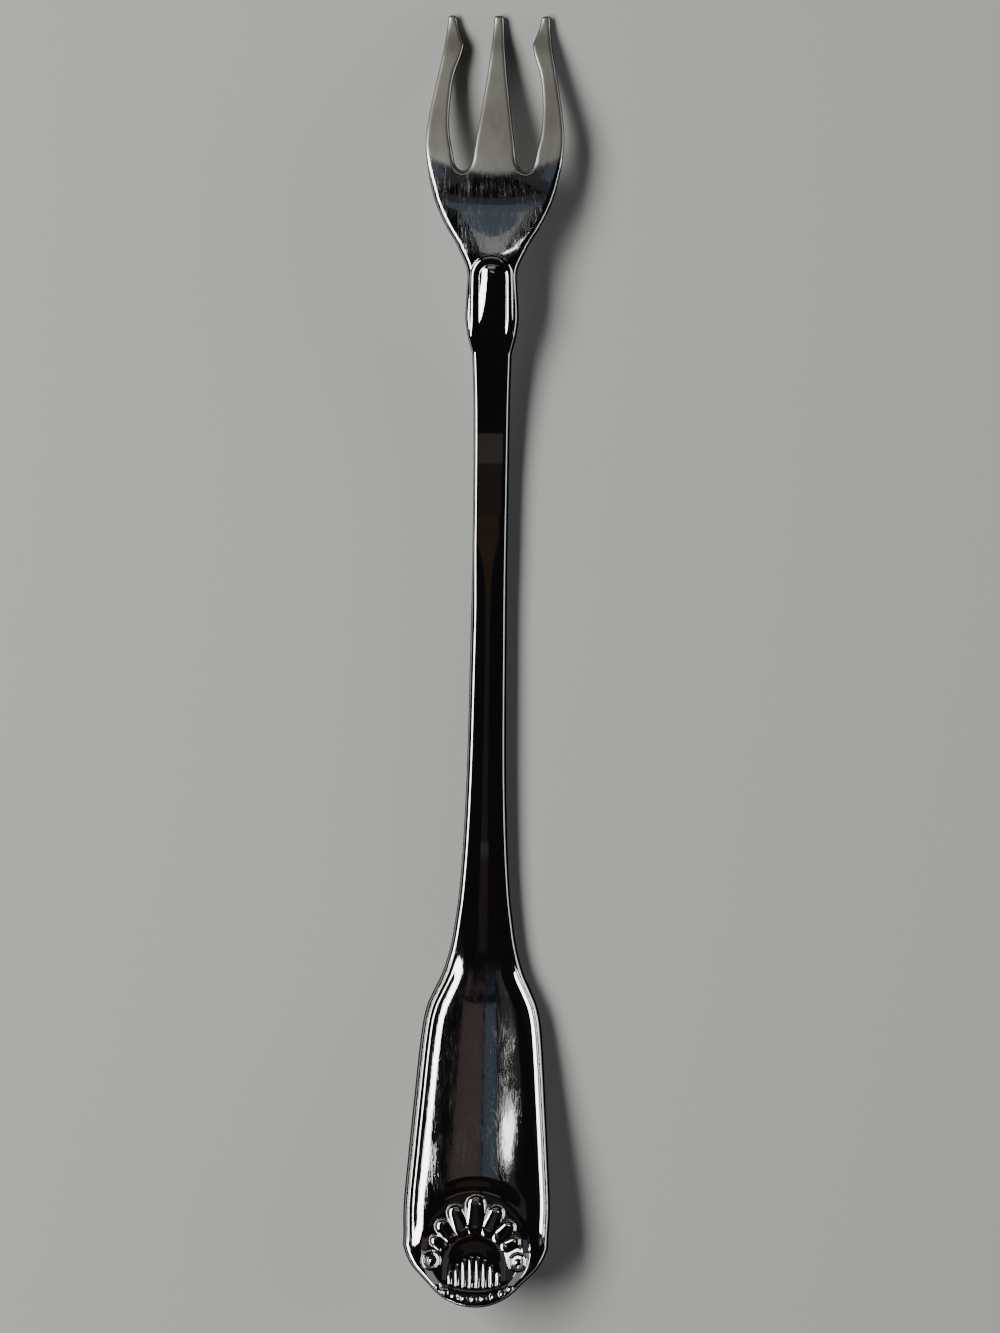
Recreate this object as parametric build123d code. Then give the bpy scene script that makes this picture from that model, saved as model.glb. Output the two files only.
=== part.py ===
from build123d import *
import math
import os

# Oyster fork, one steel stamping, lying face down as on a table.
# X runs across the fork, +Y points to the tine tips, +Z is up and out of the back of the fork.
# The origin is under the middle of its length, on the surface that it lies on. All sizes in mm.

os.makedirs("parts", exist_ok=True)

# Driving lengths along the fork, from the tine tips to the end of the handle
tine_length = 18.0
head_length = 10.6
neck_length = 12.4
shank_length = 65.0
handle_length = 49.0

# Widths
tip_spread = 12.3
head_width = 16.66
neck_width = 5.9
bulge_width = 6.4
shank_width = 4.2
handle_root_width = 6.2
handle_width = 17.66

# Thicknesses at the middle of the section
tip_thickness = 1.1
tine_thickness = 1.65
head_thickness = 2.0
neck_thickness = 2.9
shank_thickness = 3.0
handle_thickness = 2.5
end_thickness = 2.1

# Side curve of the face of the fork, which is its lower side here
head_rise = 4.5
neck_fall_length = 22.0
handle_rise = 7.2
land_sink = 0.06

# Crown of the back, from the edge of the top to its middle
tine_crown = 0.12
head_crown = 0.35
shank_crown = 0.03
grip_crown = 0.5
handle_crown = 0.85

# Bevels along the edges of the back, and of the face
tine_bevel_width = 0.3
tine_bevel_height = 0.2
head_bevel_width = 0.65
head_bevel_height = 0.35
shank_bevel_width = 0.85
shank_bevel_height = 0.75
handle_bevel_width = 0.3
handle_bevel_height = 0.25
face_bevel = 0.3

# Tines, slots and barbs
centre_tip_width = 1.1
centre_root_width = 5.1
outer_tip_width = 0.95
barb_place = 3.55
barb_inset = 4.12
slot_bow = 5.63
slot_overlap = 0.95
slot_end_inset = 3.78
slot_end_radius = 0.75

# Drop on the back of the neck: an arched ridge round a raised tongue
arch_gap = 0.55
arch_half_width = 2.18
arch_ridge_width = 0.84
arch_ridge_top = 0.26
arch_ridge_height = 0.35
arch_ridge_root = 0.5
arch_tail_sink = 0.05
drop_tail_gap = 0.8
tongue_gap = 1.15
tongue_half_width = 1.45
tongue_height = 0.62
tongue_tail_sink = 0.3
tongue_root = 0.5

# Rounded corners and end of the handle
end_round_length = 9.8

# Thread border: two raised threads, and the groove inside them
first_groove_inset = 0.6
first_groove_width = 0.27
second_groove_inset = 1.12
second_groove_width = 0.6
groove_depth = 0.2
border_gap = 6.5
border_taper = 4.0

# Shell ornament, struck on a low round medallion at the end of the handle
rod_sides = 8
lobe_sides = 16
ring_sides = 12
hub_sides = 24
medallion_rim = 0.25
back_seat_depth = 0.55
face_seat_depth = 0.35
medallion_height = 0.3
fan_offset = 1.95
hub_radius = 3.9
hub_depth = 0.15
hub_slope = 0.5
hub_foot = 0.75
lobe_start = 4.1
lobe_inset = 0.25
lobe_half_width = 1.25
lobe_height = 0.45
lobe_start_height = 0.15
volute_radius = 1.25
volute_across = 5.2
volute_offset = 1.45
volute_ring_width = 0.5
volute_eye_radius = 0.4
volute_height = 0.3
volute_depth = 0.2
flute_count = 8
flute_pitch = 0.82
flute_radius = 0.34
flute_offset = 0.85
flute_arc_radius = 2.2
flute_gap = 0.15
flute_height = 0.3
rib_inset = 1.67
rib_arc_radius = 10.9
rib_width = 0.4
rib_height = 0.2
rib_reach = 4.1
bead_count = 9
bead_inset = 0.79
bead_arc_radius = 8.1
bead_radius = 0.38
bead_top_radius = 0.18
bead_height = 0.25
bead_half_turn = 33

overrun = 1.0

total_length = tine_length + head_length + neck_length + shank_length + handle_length
head_start = tine_length
neck_start = head_start + head_length
shank_start = neck_start + neck_length
handle_start = shank_start + shank_length

slot_end = head_start + slot_overlap
arch_start = neck_start + arch_gap
tongue_start = arch_start + tongue_gap
drop_end = shank_start - drop_tail_gap
border_start = handle_start + border_gap

# Each row is a share of the zone's length and a share of the way from its low to its high size
tine_width_shares = [(0.0, 0.0), (0.2, 0.155), (0.36, 0.39), (0.52, 0.64), (0.68, 0.86), (0.86, 1.0)]
head_width_shares = [(0.0, 0.96), (0.19, 0.895), (0.38, 0.8), (0.57, 0.655), (0.76, 0.463), (0.94, 0.247)]
neck_width_shares = [(0.0, 1.72), (0.085, 1.25), (0.164, 0.9), (0.234, 0.773), (0.395, 0.873), (0.63, 1.0)]
neck_width_shares = neck_width_shares + [(0.8, 0.79), (0.927, 0.43), (1.0, 0.24)]
shank_width_shares = [(0.03, 0.2), (0.08, 0.1), (0.2, 0.03), (0.37, 0.0), (0.57, 0.1), (0.75, 0.24)]
shank_width_shares = shank_width_shares + [(0.88, 0.5), (1.0, 1.0)]
handle_width_shares = [(0.06, 0.065), (0.11, 0.13), (0.15, 0.21), (0.19, 0.32), (0.23, 0.48), (0.27, 0.624)]
handle_width_shares = handle_width_shares + [(0.31, 0.7), (0.37, 0.757), (0.5, 0.845), (0.64, 0.935)]
handle_width_shares = handle_width_shares + [(0.77, 1.0), (0.84, 0.985)]

head_rise_shares = [(0.0, 0.0), (0.28, 0.17), (0.56, 0.43), (0.83, 0.72), (1.1, 0.92), (1.34, 1.0)]
head_fall_shares = [(0.06, 0.95), (0.25, 0.8), (0.5, 0.55), (0.75, 0.3), (1.0, 0.13)]
head_fall_shares = head_fall_shares + [(1.25, 0.03), (1.5, 0.0)]
handle_rise_shares = [(-0.12, 0.0), (0.1, 0.03), (0.25, 0.14), (0.42, 0.32), (0.6, 0.53)]
handle_rise_shares = handle_rise_shares + [(0.8, 0.77), (1.02, 1.0)]


def rows(start, length, low, high, shares):
    return [(start + length * place, low + (high - low) * size) for place, size in shares]


def smooth_value(table, place):
    """Value of a table of (place, value) rows, eased smoothly from row to row."""
    if place <= table[0][0]:
        return table[0][1]
    if place >= table[-1][0]:
        return table[-1][1]
    slopes = []
    for i, (here, value) in enumerate(table):
        if i == 0 or i == len(table) - 1:
            slopes.append(0.0)
            continue
        before = (value - table[i - 1][1]) / (here - table[i - 1][0])
        after = (table[i + 1][1] - value) / (table[i + 1][0] - here)
        if before * after <= 0:
            slopes.append(0.0)
        else:
            slopes.append(2 * before * after / (before + after))
    i = max(k for k in range(len(table) - 1) if table[k][0] <= place)
    span = table[i + 1][0] - table[i][0]
    t = (place - table[i][0]) / span
    rise = table[i + 1][1] - table[i][1]
    ease = t * t * (3 - 2 * t)
    lead = t * (1 - t) * (1 - t) * slopes[i] * span
    trail = t * t * (t - 1) * slopes[i + 1] * span
    return table[i][1] + rise * ease + lead + trail


half_width_table = (
    rows(0, tine_length, tip_spread / 2, head_width / 2, tine_width_shares)
    + rows(head_start, head_length, neck_width / 2, head_width / 2, head_width_shares)
    + rows(neck_start, neck_length, shank_width / 2, bulge_width / 2, neck_width_shares)
    + rows(shank_start, shank_length, shank_width / 2, handle_root_width / 2, shank_width_shares)
    + rows(handle_start, handle_length, handle_root_width / 2, handle_width / 2, handle_width_shares)
)
face_height_table = (
    rows(0, tine_length, 0, head_rise, head_rise_shares)
    + rows(neck_start, neck_fall_length, 0, head_rise, head_fall_shares)
    + [(handle_start - shank_length / 2, -land_sink)]
    + rows(handle_start, handle_length, -land_sink, handle_rise, handle_rise_shares)
)
thickness_table = [
    (0, tip_thickness),
    (tine_length / 3, tine_thickness),
    (head_start, tine_thickness),
    (head_start + head_length / 2, head_thickness),
    (neck_start + neck_length / 5, neck_thickness),
    (shank_start, shank_thickness),
    (handle_start - shank_length / 5, shank_thickness),
    (handle_start + handle_length / 4, handle_thickness),
    (total_length, end_thickness),
]


def blend_table(tine, head, shank, grip, handle):
    return [
        (0, tine),
        (head_start - tine_length / 8, tine),
        (head_start + head_length / 3, head),
        (neck_start, head),
        (shank_start, shank),
        (shank_start + shank_length / 3, shank),
        (shank_start + shank_length / 2, grip),
        (handle_start, grip),
        (handle_start + handle_length / 3, handle),
        (total_length, handle),
    ]


grip_bevel_width = (shank_bevel_width + handle_bevel_width) / 2
grip_bevel_height = (shank_bevel_height + handle_bevel_height) / 2
crown_table = blend_table(tine_crown, head_crown, shank_crown, grip_crown, handle_crown)
bevel_width_table = blend_table(
    tine_bevel_width, head_bevel_width, shank_bevel_width, grip_bevel_width, handle_bevel_width
)
bevel_height_table = blend_table(
    tine_bevel_height, head_bevel_height, shank_bevel_height, grip_bevel_height, handle_bevel_height
)


def y_at(place):
    return total_length / 2 - place


def half_width_at(place):
    return smooth_value(half_width_table, place)


def face_at(place):
    return smooth_value(face_height_table, place)


def back_at(place):
    return face_at(place) + smooth_value(thickness_table, place)


def back_over(place, across):
    """Height of the back of the fork at a distance from its middle line."""
    crown = smooth_value(crown_table, place)
    return back_at(place) - crown * (across / half_width_at(place)) ** 2


def section(place, lowered=0.0, raised=0.0):
    """Closed cross section of the blank: flat face, bevels, upright edges and crowned back."""
    half = half_width_at(place)
    low = face_at(place) + raised
    high = back_at(place) - lowered
    shoulder = high - smooth_value(crown_table, place)
    bevel_width = smooth_value(bevel_width_table, place)
    bevel_height = smooth_value(bevel_height_table, place)
    right = [
        (half - face_bevel, low),
        (half, low + face_bevel),
        (half, shoulder - bevel_height),
        (half - bevel_width, shoulder),
    ]
    left = [(-x, z) for x, z in reversed(right)]
    y = y_at(place)
    right = [Vector(x, y, z) for x, z in right]
    left = [Vector(x, y, z) for x, z in left]
    crown = ThreePointArc(right[3], Vector(0, y, high), left[0])
    edges = [Line(left[3], right[0])]
    edges = edges + [Line(right[i], right[i + 1]) for i in range(3)]
    edges = edges + [crown]
    edges = edges + [Line(left[i], left[i + 1]) for i in range(3)]
    return Wire(edges)


def blank(start, end, steps, lowered=0.0, raised=0.0):
    places = [start + (end - start) * i / steps for i in range(steps + 1)]
    return Solid.make_loft([section(place, lowered, raised) for place in places], ruled=True)


def plan_point(across, place):
    return Vector(across, y_at(place), 0)


def prism(outline_edges):
    """Tall upright prism over a plan outline, through the whole height of the fork."""
    height = handle_rise + head_rise + shank_thickness
    face = Face(Wire(outline_edges))
    return Pos(0, 0, -overrun) * extrude(face, amount=height + 2 * overrun, dir=(0, 0, 1))


centre_edge_shares = [(0.0, 0.0), (0.2, 0.13), (0.5, 0.46), (0.72, 0.75), (0.88, 0.96)]
bow_edge_shares = [(0.095, 0.22), (0.19, 0.56), (0.37, 0.9), (0.55, 1.0), (0.75, 0.86), (0.87, 0.6)]


def slot(side):
    """Opening between the centre tine and one outer tine, with the barb as its sharp corner."""
    tip_inner = tip_spread / 2 - outer_tip_width
    centre_points = rows(0, slot_end, centre_tip_width / 2, centre_root_width / 2, centre_edge_shares)
    bow_length = slot_end - barb_place
    bow_points = rows(barb_place, bow_length, barb_inset, slot_bow, bow_edge_shares)
    end_rise = slot_end_radius * math.sin(math.pi / 4)
    centre_side = [plan_point(side * across, place) for place, across in centre_points]
    low_left = plan_point(side * (slot_end_inset - end_rise), slot_end - slot_end_radius + end_rise)
    low_right = plan_point(side * (slot_end_inset + end_rise), slot_end - slot_end_radius + end_rise)
    bottom = plan_point(side * slot_end_inset, slot_end)
    bow_side = [plan_point(side * across, place) for place, across in reversed(bow_points)]
    barb = plan_point(side * barb_inset, barb_place)
    middle = (barb_inset + tip_inner) / 2
    hollow = (tip_inner - barb_inset) / 10
    barb_back = plan_point(side * (middle + hollow), barb_place / 2)
    tip = plan_point(side * tip_inner, 0)
    past_tip = plan_point(side * tip_inner, -overrun)
    past_centre = plan_point(side * centre_tip_width / 2, -overrun)
    wall = Spline(*(centre_side + [low_left, bottom, low_right] + bow_side + [barb]))
    outline = [
        Line(past_centre, centre_side[0]),
        wall,
        ThreePointArc(barb, barb_back, tip),
        Line(tip, past_tip),
        Line(past_tip, past_centre),
    ]
    return prism(outline)


def make_tines():
    plate = blank(0, head_start, 8)
    for side in (-1, 1):
        plate = plate - slot(side)
    pieces = sorted(plate.solids(), key=lambda piece: piece.center().X)
    return {"tine_left": pieces[0], "tine_centre": pieces[1], "tine_right": pieces[2]}


def make_head():
    plate = blank(head_start, neck_start, 6)
    for side in (-1, 1):
        plate = plate - slot(side)
    return plate


def slope_at(place):
    """Tilt of the face along the fork, in degrees, positive where it falls towards the handle."""
    ahead = face_at(place - overrun / 2)
    behind = face_at(place + overrun / 2)
    return math.degrees(math.atan2(ahead - behind, overrun))


def faceted(stations, sides):
    """Many-sided solid along Y through polygons at (place, radius) stations, where zero is a point."""
    polygons = []
    for y, radius in stations:
        if radius:
            plane = Plane(origin=(0, y, 0), x_dir=(1, 0, 0), z_dir=(0, 1, 0))
            polygon = plane * RegularPolygon(radius, sides, rotation=180 / sides)
            polygons.append(polygon.wire())
        else:
            polygons.append(Vertex(0, y, 0))
    return Solid.make_loft(polygons, ruled=True)


def spindle(length, radius, sides, dome_turns):
    """Many-sided rod with domed ends, from the origin towards the handle."""
    stations = [(0, 0)]
    for turn in dome_turns:
        wide = radius * math.cos(math.radians(turn))
        stations.append((radius * math.sin(math.radians(turn)) - radius, wide))
    far = [(-length - y, size) for y, size in reversed(stations)]
    return faceted(stations + far, sides)


def arch_ridge():
    """Ridge with sloping sides that runs up one side of the drop, over its arch and down the other."""
    crown = Vector(0, y_at(arch_start), back_at(arch_start))
    tail = Vector(0, y_at(drop_end), back_at(drop_end) - arch_tail_sink)
    across = Vector(1, 0, 0)
    run = crown - tail
    plane = Plane(origin=crown, x_dir=across, z_dir=across.cross(run))
    reach = run.length
    middle = -arch_ridge_width / 2 - arch_half_width
    low_left = (-arch_half_width, -reach)
    left = (-arch_half_width, middle)
    crest = (0, -arch_ridge_width / 2)
    right = (arch_half_width, middle)
    low_right = (arch_half_width, -reach)
    path = Wire([Line(low_left, left), ThreePointArc(left, crest, right), Line(right, low_right)])
    foot = arch_ridge_width / 2
    slope = (foot - arch_ridge_top / 2) / arch_ridge_height
    wide = foot + slope * arch_ridge_root
    profile = Polyline(
        (-wide, -arch_ridge_root),
        (-arch_ridge_top / 2, arch_ridge_height),
        (arch_ridge_top / 2, arch_ridge_height),
        (wide, -arch_ridge_root),
        close=True,
    )
    start = Plane(origin=path @ 0, x_dir=(-1, 0, 0), z_dir=path % 0)
    return plane * sweep(start * make_face(profile), path=path)


def cap_radius(half_width, height):
    """Radius of a ball whose cap of this height has this half width."""
    return (half_width**2 + height**2) / (2 * height)


rod_dome = [45, 0]


def tongue():
    """Raised rounded tongue inside the arch, which sinks into the back at its tail."""
    radius = cap_radius(tongue_half_width, tongue_height)
    first = tongue_start + tongue_half_width
    last = drop_end - tongue_half_width
    front = Vector(0, y_at(first), back_at(first) + tongue_height - radius)
    tail = Vector(0, y_at(last), back_at(last) - radius - tongue_tail_sink)
    run = front - tail
    tilt = math.degrees(math.atan2(run.Z, run.Y))
    height = tongue_height + tongue_root
    rod = Pos(0, radius, 0) * spindle(run.length + 2 * radius, radius, rod_sides, rod_dome)
    top = Pos(0, -run.length / 2, radius - height / 2) * Box(2 * radius, run.length + 2 * radius, height)
    return Pos(front) * Rot(X=tilt) * (rod & top)


def make_neck():
    return blank(neck_start, shank_start, 10).fuse(arch_ridge(), tongue())


def make_shank():
    """Shank with a flat land on its face, which the fork lies on."""
    middle = (shank_start + handle_start) / 2
    wide = handle_root_width + 2 * overrun
    below = Pos(0, y_at(middle), -overrun / 2) * Box(wide, shank_length + 2 * overrun, overrun)
    return blank(shank_start, handle_start, 13) - below


corner_shares = [(1.012, 0.0), (0.955, 0.36), (0.838, 0.54)]
notch_share = (0.612, 0.742)


def end_point(side, shares):
    across, along = shares
    place = total_length - end_round_length * (1 - along)
    return plan_point(side * across * handle_width / 2, place)


def end_trim():
    """Plan of the handle with its two rounded corners, small notches and round end."""
    wide = handle_width / 2 + overrun
    top_right = plan_point(wide, handle_start - overrun)
    top_left = plan_point(-wide, handle_start - overrun)
    corner_place = total_length - end_round_length
    edges = [Line(top_left, top_right)]
    right = [end_point(1, shares) for shares in corner_shares + [notch_share]]
    left = [end_point(-1, shares) for shares in corner_shares + [notch_share]]
    edges.append(Line(top_right, plan_point(wide, corner_place)))
    edges.append(Line(plan_point(wide, corner_place), right[0]))
    edges.append(ThreePointArc(right[0], right[1], right[2]))
    edges.append(Line(right[2], right[3]))
    edges.append(ThreePointArc(right[3], plan_point(0, total_length), left[3]))
    edges.append(Line(left[3], left[2]))
    edges.append(ThreePointArc(left[2], left[1], left[0]))
    edges.append(Line(left[0], plan_point(-wide, corner_place)))
    edges.append(Line(plan_point(-wide, corner_place), top_left))
    return prism(edges)


def side_outline():
    """Right-hand outline of the handle, from the shank round the corner to the notch."""
    corner_place = total_length - end_round_length
    places = [border_start + (corner_place - border_start) * i / 7 for i in range(8)]
    outline = [(half_width_at(place), place) for place in places]
    arc = ThreePointArc(*[end_point(1, shares) for shares in corner_shares])
    for i in range(1, 3):
        point = arc @ (i / 2)
        outline.append((point.X, total_length / 2 - point.Y))
    return outline


def inset_outline(outline, insets):
    """Points of an outline moved inwards, each by its own inset."""
    moved = []
    for i, (across, place) in enumerate(outline):
        before = outline[max(i - 1, 0)]
        after = outline[min(i + 1, len(outline) - 1)]
        along = Vector(after[0] - before[0], after[1] - before[1], 0).normalized()
        moved.append((across - along.Y * insets[i], place + along.X * insets[i]))
    return moved


def groove(side, inset, width):
    """Upright prism over one groove of the thread border, drawn to a point at both ends."""
    outline = side_outline()
    last = outline[-1][1]
    inner = []
    for across, place in outline:
        fade = min(1.0, (place - border_start) / border_taper, (last - place) / border_taper)
        inner.append(inset + width * max(fade, 0.0))
    curves = []
    for insets in ([inset] * len(outline), inner):
        points = [plan_point(side * across, place) for across, place in inset_outline(outline, insets)]
        curves.append(Spline(*points))
    return prism(curves)


def end_arc_radius():
    half = notch_share[0] * handle_width / 2
    rise = end_round_length * (1 - notch_share[1])
    return (half**2 + rise**2) / (2 * rise)


def medallion_radius():
    return end_arc_radius() - medallion_rim


def back_seat():
    """Frame of the flat seat of the ornament on the back: Y along the fork, Z outwards."""
    middle = total_length - end_arc_radius()
    return Pos(0, y_at(middle), back_at(middle) - back_seat_depth) * Rot(X=slope_at(middle))


def face_seat():
    """The same on the face, with Z pointing out of the face."""
    middle = total_length - end_arc_radius()
    return Pos(0, y_at(middle), face_at(middle) + face_seat_depth) * Rot(X=slope_at(middle)) * Rot(Y=180)


def make_handle():
    end = total_length + overrun
    handle = blank(handle_start, end, 14) & end_trim()
    under_back = blank(handle_start, end, 14, lowered=groove_depth)
    over_face = blank(handle_start, end, 14, raised=groove_depth)
    for side in (-1, 1):
        for inset, width in (
            (first_groove_inset, first_groove_width),
            (second_groove_inset, second_groove_width),
        ):
            upright = groove(side, inset, width)
            handle = handle - max((upright - under_back).solids(), key=lambda piece: piece.center().Z)
            handle = handle - min((upright - over_face).solids(), key=lambda piece: piece.center().Z)
    recess = Pos(0, 0, handle_thickness / 2) * Cylinder(medallion_radius(), handle_thickness)
    return handle - back_seat() * recess - face_seat() * recess


lobe_turns = [0, 21.3, 41, 59]
lobe_length_shares = [1.0, 0.92, 0.83, 0.745]
lobe_width_shares = [1.0, 0.86, 0.74, 0.6]
lobe_dome = [40, 20, 0]


def medallion():
    """Flat round field that carries the shell, with a sunk hub that the fan spreads from."""
    field = Pos(0, 0, medallion_height / 2) * Cylinder(medallion_radius(), medallion_height)
    hub = faceted([(-hub_depth, hub_radius - hub_slope), (hub_depth, hub_radius + hub_slope)], hub_sides)
    hub = Pos(0, -fan_offset, medallion_height) * Rot(X=90) * hub
    keep = Pos(0, hub_radius - hub_foot, medallion_height) * Box(4 * hub_radius, 2 * hub_radius, overrun)
    return field - (hub & keep)


def lobe(length, half_width):
    """Lobe along Y, away from the middle of the fan, low at its inner end and full at its outer end."""
    radius = cap_radius(half_width, lobe_height)
    first = lobe_start + half_width / 2
    last = length - half_width
    tilt = math.degrees(math.atan2(lobe_height - lobe_start_height, last - first))
    rod = spindle(last - first + 2 * radius, radius, lobe_sides, lobe_dome)
    return Pos(0, last, medallion_height + lobe_height - radius) * Rot(X=tilt) * Pos(0, radius, 0) * rod


def fan_lobes():
    lobes = []
    full_length = medallion_radius() - lobe_inset + fan_offset
    for turn, length_share, width_share in zip(lobe_turns, lobe_length_shares, lobe_width_shares):
        solid = lobe(full_length * length_share, lobe_half_width * width_share)
        for side in (-1, 1) if turn else (1,):
            lobes.append(Pos(0, -fan_offset, 0) * Rot(Z=-side * turn) * solid)
    return lobes


def knob(radius, top_radius, height, sides):
    """Knob with sloping sides and a flat top, rooted in the round field."""
    root = medallion_height / 2
    stations = [(root, radius), (medallion_height, radius), (medallion_height + height, top_radius)]
    return Rot(X=90) * faceted(stations, sides)


def volutes():
    """Curled ends of the shell: a ring round a small eye on each side."""
    hole_radius = volute_radius - volute_ring_width
    hole = faceted([(-volute_depth, hole_radius), (volute_depth, hole_radius)], ring_sides)
    ring = knob(volute_radius, volute_radius - volute_ring_width / 2, volute_height, ring_sides)
    ring = ring - Pos(0, 0, medallion_height + volute_height) * Rot(X=90) * hole
    eye = knob(volute_eye_radius, volute_eye_radius / 2, volute_height, rod_sides)
    seats = [Pos(side * volute_across, -volute_offset, 0) for side in (-1, 1)]
    return [seat * piece for seat in seats for piece in (ring, eye)]


def arc_drop(inset, arc_radius, across):
    """How far an arc across the lower part of the field lies below the middle of the field."""
    lowest = medallion_radius() - inset
    return lowest - arc_radius + math.sqrt(arc_radius**2 - across**2)


def flutes():
    """Upright ribs with their heads on an arch in the hub and their feet by the rib below."""
    rods = []
    for i in range(flute_count):
        across = flute_pitch * (i - (flute_count - 1) / 2)
        top = flute_offset + across**2 / (2 * flute_arc_radius)
        foot = arc_drop(rib_inset, rib_arc_radius, across) - rib_width / 2 - flute_gap
        rod = spindle(foot - top, flute_radius, rod_sides, rod_dome)
        rods.append(Pos(across, -top, flute_height) * rod)
    return rods


def foot_rib():
    """Thin ridge across the feet of the flutes, on a flat arc."""
    outer = rib_arc_radius + rib_width / 2
    inner = rib_arc_radius - rib_width / 2
    high = medallion_height + rib_height
    profile = [
        (inner, 0),
        (inner, medallion_height),
        (rib_arc_radius, high),
        (outer, medallion_height),
        (outer, 0),
    ]
    ring = revolve(Plane.XZ * make_face(Polyline(*profile, close=True)), axis=Axis.Z)
    middle = rib_arc_radius - arc_drop(rib_inset, rib_arc_radius, 0)
    keep = Pos(0, -rib_arc_radius, high / 2) * Box(2 * rib_reach, rib_arc_radius, high)
    return Pos(0, middle, 0) * (ring & keep)


def rim_beads():
    """Row of beads along the rim, from notch to notch."""
    beads = []
    middle = bead_arc_radius - arc_drop(bead_inset, bead_arc_radius, 0)
    for i in range(bead_count):
        turn = bead_half_turn * (2 * i / (bead_count - 1) - 1)
        bead = knob(bead_radius, bead_top_radius, bead_height, rod_sides)
        beads.append(Pos(0, middle, 0) * Rot(Z=turn) * Pos(0, -bead_arc_radius, 0) * bead)
    return beads


def make_shell(extras):
    """Shell on its round field, cut off level with the foot of the field."""
    relief = medallion().fuse(*fan_lobes(), *volutes(), *extras)
    height = medallion_height + 2 * lobe_height
    return relief & Pos(0, 0, height / 2) * Cylinder(medallion_radius(), height)


nodes = {}
nodes.update(make_tines())
nodes["head"] = make_head()
nodes["neck_drop"] = make_neck()
nodes["shank"] = make_shank()
nodes["handle"] = make_handle()
nodes["shell_back"] = back_seat() * make_shell(flutes() + [foot_rib()] + rim_beads())
nodes["shell_face"] = face_seat() * make_shell([])

for name, solid in nodes.items():
    print(name, len(solid.solids()), round(solid.volume, 3), solid.is_valid)
    export_step(solid, "parts/" + name + ".step")
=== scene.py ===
import math

import bpy
import numpy as np
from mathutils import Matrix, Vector, geometry


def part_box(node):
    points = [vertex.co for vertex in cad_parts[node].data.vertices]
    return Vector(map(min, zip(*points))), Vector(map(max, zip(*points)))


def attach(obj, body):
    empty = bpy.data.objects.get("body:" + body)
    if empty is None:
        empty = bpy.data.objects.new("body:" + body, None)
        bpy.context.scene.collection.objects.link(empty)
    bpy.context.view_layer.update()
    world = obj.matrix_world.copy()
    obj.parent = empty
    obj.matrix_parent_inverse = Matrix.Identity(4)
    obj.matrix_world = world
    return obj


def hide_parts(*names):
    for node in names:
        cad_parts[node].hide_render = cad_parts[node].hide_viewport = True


# An oyster fork of polished steel, lying face down. Shapes are worked out in millimetres,
# with "place" for the distance from the tine tips towards the end of the handle.
mm = 0.001

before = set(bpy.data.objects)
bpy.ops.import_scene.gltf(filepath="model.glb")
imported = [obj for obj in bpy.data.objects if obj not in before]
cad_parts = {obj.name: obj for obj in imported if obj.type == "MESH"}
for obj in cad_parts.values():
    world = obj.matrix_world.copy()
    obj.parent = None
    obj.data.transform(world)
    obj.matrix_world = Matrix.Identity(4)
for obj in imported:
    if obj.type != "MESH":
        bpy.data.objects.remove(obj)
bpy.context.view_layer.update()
print("frame loaded")


def nodeBox(name):
    low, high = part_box(name)
    return low / mm, high / mm


tipY = nodeBox("tine_centre")[1].y


def zone(name):
    low, high = nodeBox(name)
    return tipY - high.y, tipY - low.y


headStart, neckStart = zone("head")
shankStart, handleStart = zone("shank")
totalLength = zone("handle")[1]
shankLength = handleStart - shankStart
handleLength = totalLength - handleStart
neckLength = shankStart - neckStart
handleWidth = 2 * nodeBox("handle")[1].x

body = {
    "tipSpread": 12.3,
    "headWidth": 16.66,
    "neckWidth": 5.9,
    "bulgeWidth": 6.4,
    "shankWidth": 4.2,
    "handleRootWidth": 6.2,
    "headRise": 4.5,
    "neckFallLength": 22.0,
    "handleRise": 7.2,
    "landSink": 0.06,
    "faceClearance": 0.02,
}

tines = {
    "centreTipWidth": 1.1,
    "centreRootWidth": 5.1,
    "outerTipWidth": 0.95,
    "barbPlace": 3.55,
    "barbInset": 4.12,
    "slotBow": 5.63,
    "slotOverlap": 0.95,
    "slotEndInset": 3.78,
    "slotEndRadius": 0.75,
    "tipRounding": 0.3,
    "barbRounding": 0.14,
}

tineWidthShares = [(0, 0), (0.2, 0.155), (0.36, 0.39), (0.52, 0.64), (0.68, 0.86), (0.86, 1)]
headWidthShares = [(0, 0.96), (0.19, 0.895), (0.38, 0.8), (0.57, 0.655), (0.76, 0.463), (0.94, 0.247)]
neckWidthShares = [(0, 1.72), (0.085, 1.25), (0.164, 0.9), (0.234, 0.773), (0.395, 0.873), (0.63, 1)]
neckWidthShares += [(0.8, 0.79), (0.927, 0.43), (1, 0.24)]
shankWidthShares = [(0.03, 0.2), (0.08, 0.1), (0.2, 0.03), (0.37, 0), (0.57, 0.1), (0.75, 0.24)]
shankWidthShares += [(0.88, 0.5), (1, 1)]
handleWidthShares = [(0.06, 0.065), (0.11, 0.13), (0.15, 0.21), (0.19, 0.32), (0.23, 0.48), (0.27, 0.624)]
handleWidthShares += [(0.31, 0.7), (0.37, 0.757), (0.5, 0.845), (0.64, 0.935), (0.77, 1), (0.84, 0.985)]
headRiseShares = [(0, 0), (0.28, 0.17), (0.56, 0.43), (0.83, 0.72), (1.1, 0.92), (1.34, 1)]
headFallShares = [(0.06, 0.95), (0.25, 0.8), (0.5, 0.55), (0.75, 0.3), (1, 0.13), (1.25, 0.03), (1.5, 0)]
handleRiseShares = [(-0.12, 0), (0.1, 0.03), (0.25, 0.14), (0.42, 0.32), (0.6, 0.53), (0.8, 0.77), (1.02, 1)]
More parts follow.
